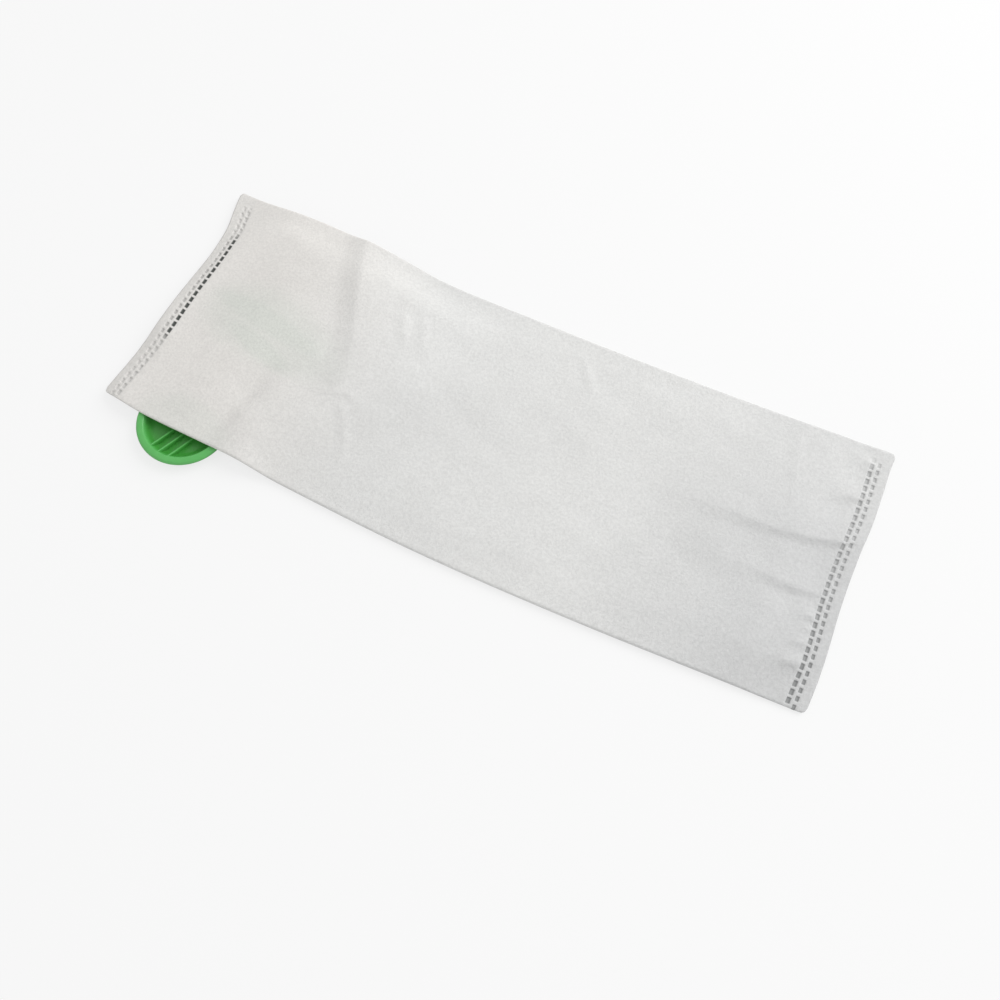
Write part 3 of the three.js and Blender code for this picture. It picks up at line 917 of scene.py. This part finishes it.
def sew_hole(rings, columns):
    """Fills a patch from its border in to the hole, and gives the hole's edge."""
    points = np.concatenate(sheet.points)
    flat = np.concatenate(sheet.flat)
    border, stops = round_patch(rings, columns)
    corners = np.array(border)[stops]
    places = points[corners]
    away = places[:, :2] - MOUTH_IN_BAG
    rim = MOUTH_IN_BAG + away / np.linalg.norm(away, axis=1, keepdims=True) * hole_radius
    rim = np.column_stack([rim, np.full(len(corners), places[:, 2].min())])
    previous = (border, stops)
    for share in (0.35, 0.65, 0.88, 1.0):
        loop = sheet.add(places * (1 - share) + rim * share, flat[corners])
        every = list(range(len(loop)))
        sheet.join(previous, (loop, every))
        previous = (loop, every)
    return previous


for i in range(len(outer) - 1):
    in_patch = first_station <= i - first_body < last_station
    sheet.join(outer[i], outer[i + 1], under_mouth(COLUMNS) if in_patch else ())
for i in range(len(inner) - 1):
    in_patch = first_station <= i + inner_from < last_station
    sheet.join(inner[i], inner[i + 1], under_mouth(INNER_COLUMNS) if in_patch else ())
for (ring, _), columns, inset in [
    (outer[0], FINE_COLUMNS, 0.4),
    (outer[-1], FINE_COLUMNS, -0.4),
    (inner[0], INNER_COLUMNS, 0),
    (inner[-1], INNER_COLUMNS, 0),
]:
    upper, _, lower, _ = parts_of_ring(ring, len(columns))
    points = np.concatenate(sheet.points)
    middle = (points[upper] + points[lower]) / 2
    middle[:, 0] += inset
    notch = sheet.add(middle, np.concatenate(sheet.flat)[upper])
    sheet.close_end(ring, notch)
outer_edge = sew_hole(outer[first_body + first_station:first_body + last_station + 1], COLUMNS)
inner_edge = sew_hole(inner[first_station - inner_from:last_station - inner_from + 1], INNER_COLUMNS)
sheet.join(outer_edge, inner_edge)

sheet_points = (np.concatenate(sheet.points) + [*BAG_MIDDLE, 0]) * MILLIMETRE
bag_mesh = bpy.data.meshes.new("fleece_sheet")
bag_mesh.from_pydata(sheet_points, [], sheet.faces)
flat_places = np.concatenate(sheet.flat) * MILLIMETRE
corner_points = np.empty(len(bag_mesh.loops), np.int32)
bag_mesh.loops.foreach_get("vertex_index", corner_points)
bag_mesh.uv_layers.new(name="flat_sheet").data.foreach_set("uv", flat_places[corner_points].ravel())
shape = bmesh.new()
shape.from_mesh(bag_mesh)
bmesh.ops.recalc_face_normals(shape, faces=shape.faces)
for face in shape.faces:
    face.smooth = True
shape.to_mesh(bag_mesh)
shape.free()

WARM_WHITE = (0.772, 0.752, 0.722, 1)
PLAIN_WHITE = (0.735, 0.735, 0.722, 1)
# Painted shade towards the gathered end and its near corner, and the grey of the weld strips
COOL_WHITE = (0.600, 0.603, 0.602, 1)
GREEN_SHADE = (0.640, 0.672, 0.620, 1)
FUSED_GREY = (0.23, 0.235, 0.235, 1)
# Painted shade: the shade under the raised weld, seen through its fused points
SHADE_BEHIND_WELD = (0.030, 0.037, 0.032, 1)

# Painted shade and the collar's green, where it shows through the fleece: the centre, size and turn of an
# oval in the frame, and its strength
PAINTED_SHOW_THROUGH = [
    ((-118, 4), (46, 23), -8, 0.4),
    ((-121, 8), (36, 8), -10, 0.45),
    ((-119, -6), (26, 7), -20, 0.4),
    ((-130, -58), (29, 16), -12, 0.3),
]


def filter_fleece(graph):
    """White filter fleece: matted fibres, glazed and darker where the wheel has fused its layers. Shade is
    painted on it.
    """
    where = graph.node("ShaderNodeTexCoord", output="Object")
    place = graph.node("ShaderNodeUVMap", {"uv_map": "flat_sheet"})
    across = graph.node("ShaderNodeSeparateXYZ", None, {"Vector": place}, "X") * (1 / MILLIMETRE)
    station = graph.node("ShaderNodeSeparateXYZ", None, {"Vector": place}, "Y") * (1 / MILLIMETRE)
    from_end = BAG_LENGTH / 2 - abs(station)

    def weld_row(row, blur):
        """1 on the points of one row and 0 beside them, over edges that are blurred outwards."""
        turned = graph.math("FLOORED_MODULO", across + (WELD_PITCH / 2 - row["shift"]), WELD_PITCH)
        beside = row["along"] / 2 - abs(turned - WELD_PITCH / 2)
        down = row["across"] / 2 - abs(from_end - row["from_end"])
        return graph.fade(beside, -blur, 0.3) * graph.fade(down, -blur, 0.3)

    # Shares of the sheet: its weld points, its half at the collar, and what the collar holds up there
    off_corner = graph.fade(across, 62, 54)
    inner_points = weld_row(INNER_ROW, 0.15) * off_corner
    outer_points = weld_row(OUTER_ROW, 0.05) * off_corner
    at_collar = graph.fade(station, 10, -10)
    raised = at_collar * graph.fade(across, -32, -24) * graph.fade(across, 43, 37)

    # The fleece is painted lighter and warmer at the collar and darker and cooler towards the gathers, most
    # on their near side, as painted shade; it is also greyer in the welds, most at the gathers
    clouds = graph.noise(where, 22, detail=3)
    felted = graph.noise(where, 760, detail=4, roughness=0.7)
    # Painted shade: darker towards the gathered end, more on the near side
    corner_shade_and_seam = graph.fade(station, 40, 178) * (0.5 + 0.5 * graph.fade(across, 50, 0))
    seam = graph.fade(from_end, 11, 10) * (0.5 - 0.4 * at_collar)
    corner_shade_and_seam = graph.math("MAXIMUM", corner_shade_and_seam, seam)
    body = graph.mix(graph.fade(station, -140, -40), WARM_WHITE, PLAIN_WHITE)
    body = graph.mix(corner_shade_and_seam, body, COOL_WHITE)

    def seen_through(centre, size, turn):
        """1 in the middle of an oval in the frame's plane, and 0 beyond its clouded edge."""
        moved = graph.node("ShaderNodeMapping", {"vector_type": "TEXTURE"}, {
            "Vector": where,
            "Location": (centre[0] * MILLIMETRE, centre[1] * MILLIMETRE, 0),
            "Rotation": (0, 0, math.radians(turn)),
            "Scale": (size[0] * MILLIMETRE, size[1] * MILLIMETRE, 1),
        })
        flat = graph.node("ShaderNodeVectorMath", {"operation": "MULTIPLY"}, {0: moved, 1: (1, 1, 0)})
        away = graph.node("ShaderNodeVectorMath", {"operation": "LENGTH"}, {0: flat}, "Value")
        return graph.fade(away + 0.7 * (clouds - 0.5), 1.1, 0.55)

    # Painted shade and painted green show-through over the collar and its grip
    for centre, size, turn, strength in PAINTED_SHOW_THROUGH:
        body = graph.mix(seen_through(centre, size, turn) * strength, body, GREEN_SHADE)
    shade = 0.915 + 0.11 * graph.fade(felted, 0.32, 0.68) + 0.035 * graph.fade(clouds, 0.3, 0.7)
    grey = graph.node("ShaderNodeCombineColor", None, {"Red": shade, "Green": shade, "Blue": shade})
    multiplied = {"data_type": "RGBA", "blend_type": "MULTIPLY"}
    body = graph.node("ShaderNodeMix", multiplied, {0: 1.0, 6: body, 7: grey}, output=2)

    # Fused points are grey, more so in the gathered weld; over the collar they are painted dark, as the
    # shade beneath that shows through them
    fused_more = (1 - at_collar) * (0.25 + 0.3 * graph.fade(across, 10, -50))
    plain_share = inner_points * (0.25 + 1.2 * fused_more) + outer_points * (0.18 + 1.3 * fused_more)
    body = graph.mix(plain_share, body, FUSED_GREY)
    body = graph.mix(inner_points * raised * 0.95 + outer_points * raised * 0.25, body, SHADE_BEHIND_WELD)

    def fibres(turn):
        """Fine streaks that run one way."""
        laid = graph.node("ShaderNodeMapping", None, {
            "Vector": where,
            "Rotation": (0, 0, turn),
            "Scale": (900, 8200, 900),
        })
        return graph.fade(graph.noise(laid, 1, detail=1), 0.5, 0.75)

    mat = fibres(0.3) + fibres(1.5) + fibres(2.5)
    fused = graph.math("MAXIMUM", inner_points, outer_points)
    height = (1 - fused) * (0.25 * mat + 1.4 * felted)
    return {
        "Base Color": body,
        "Roughness": 0.95 - 0.4 * fused,
        "Sheen Weight": 0.12,
        "Normal": graph.bump(height, 0.00022, 0.7),
    }


bag_mesh.materials.append(finish_from("filter_fleece", filter_fleece))
fleece_sheet = bpy.data.objects.new("fleece_sheet", bag_mesh)
bpy.context.scene.collection.objects.link(fleece_sheet)
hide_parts("fleece_bag")
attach(fleece_sheet, "root")


# Table, light and camera
#
# The bag lies on a plain white table, in an even white room, under a broad soft light from behind
# on the right. The camera looks down at it from the near side, a little to the right.

TABLE_WHITE = (0.93, 0.93, 0.93, 1)
PURE_WHITE = (1, 1, 1, 1)
TABLE_GLOW = 0.94
SKY_LIGHT = 0.68
SKY_SEEN = 0.94

# Lengths here are in metres
TABLE_REACH = 6.0
TABLE_BELOW = -0.2 * MILLIMETRE
LAMP_PLACE = (0.75, 0.9, 0.95)
LAMP_SIZE = 1.1
LAMP_WATTS = 16.5
LOOKS_AT = Vector((0.01963, -0.02425, 0))
CAMERA_AWAY = 0.4186
AZIMUTH = math.radians(25.45)
ELEVATION = math.radians(68.95)

# To the camera the table is mostly a plain glow, and wholly so far from the bag: it runs into the room
table_finish = bpy.data.materials.new("white_table")
table_finish.use_nodes = True
bright = Graph(table_finish.node_tree)
matt = bright.node("ShaderNodeBsdfDiffuse", None, {"Color": TABLE_WHITE})
lit = bright.node("ShaderNodeEmission", None, {"Color": PURE_WHITE, "Strength": TABLE_GLOW})
seen_directly = bright.node("ShaderNodeLightPath", output="Is Camera Ray")
table_place = bright.node("ShaderNodeTexCoord", output="Object")
from_bag = bright.node("ShaderNodeVectorMath", {"operation": "LENGTH"}, {0: table_place}, "Value")
lit_share = 0.8 + 0.2 * bright.fade(from_bag, 0.4, 1.6)
bright.node("ShaderNodeOutputMaterial", None, {
    "Surface": bright.node("ShaderNodeMixShader", None, {0: lit_share * seen_directly, 1: matt, 2: lit}),
})

table_mesh = bpy.data.meshes.new("table")
corner_signs = [(-1, -1), (1, -1), (1, 1), (-1, 1)]
table_corners = [(x * TABLE_REACH, y * TABLE_REACH, TABLE_BELOW) for x, y in corner_signs]
table_mesh.from_pydata(table_corners, [], [(0, 1, 2, 3)])
table_mesh.materials.append(table_finish)
table = bpy.data.objects.new("table", table_mesh)
bpy.context.scene.collection.objects.link(table)

scene = bpy.context.scene
scene.view_settings.view_transform = "Standard"
scene.world = bpy.data.worlds.new("studio")
scene.world.use_nodes = True
sky = Graph(scene.world.node_tree)
seen = sky.node("ShaderNodeLightPath", output="Is Camera Ray")
sky_strength = SKY_LIGHT + (SKY_SEEN - SKY_LIGHT) * seen
around = sky.node("ShaderNodeBackground", None, {"Color": PURE_WHITE, "Strength": sky_strength})
sky.node("ShaderNodeOutputWorld", None, {"Surface": around})

lamp_data = bpy.data.lights.new("soft_box", "AREA")
lamp_data.shape = "SQUARE"
lamp_data.size = LAMP_SIZE
lamp_data.energy = LAMP_WATTS
lamp = bpy.data.objects.new("soft_box", lamp_data)
lamp.location = LAMP_PLACE
lamp.rotation_mode = "QUATERNION"
lamp.rotation_quaternion = lamp.location.to_track_quat("Z", "Y")
scene.collection.objects.link(lamp)

back = Vector((
    math.sin(AZIMUTH) * math.cos(ELEVATION),
    -math.cos(AZIMUTH) * math.cos(ELEVATION),
    math.sin(ELEVATION),
))
camera_data = bpy.data.cameras.new("camera")
camera_data.sensor_width = 36
camera_data.lens = 32.4
camera_data.clip_start = 0.01
camera = bpy.data.objects.new("camera", camera_data)
camera.location = LOOKS_AT + back * CAMERA_AWAY
camera.rotation_mode = "QUATERNION"
camera.rotation_quaternion = back.to_track_quat("Z", "Y")
scene.collection.objects.link(camera)
scene.camera = camera
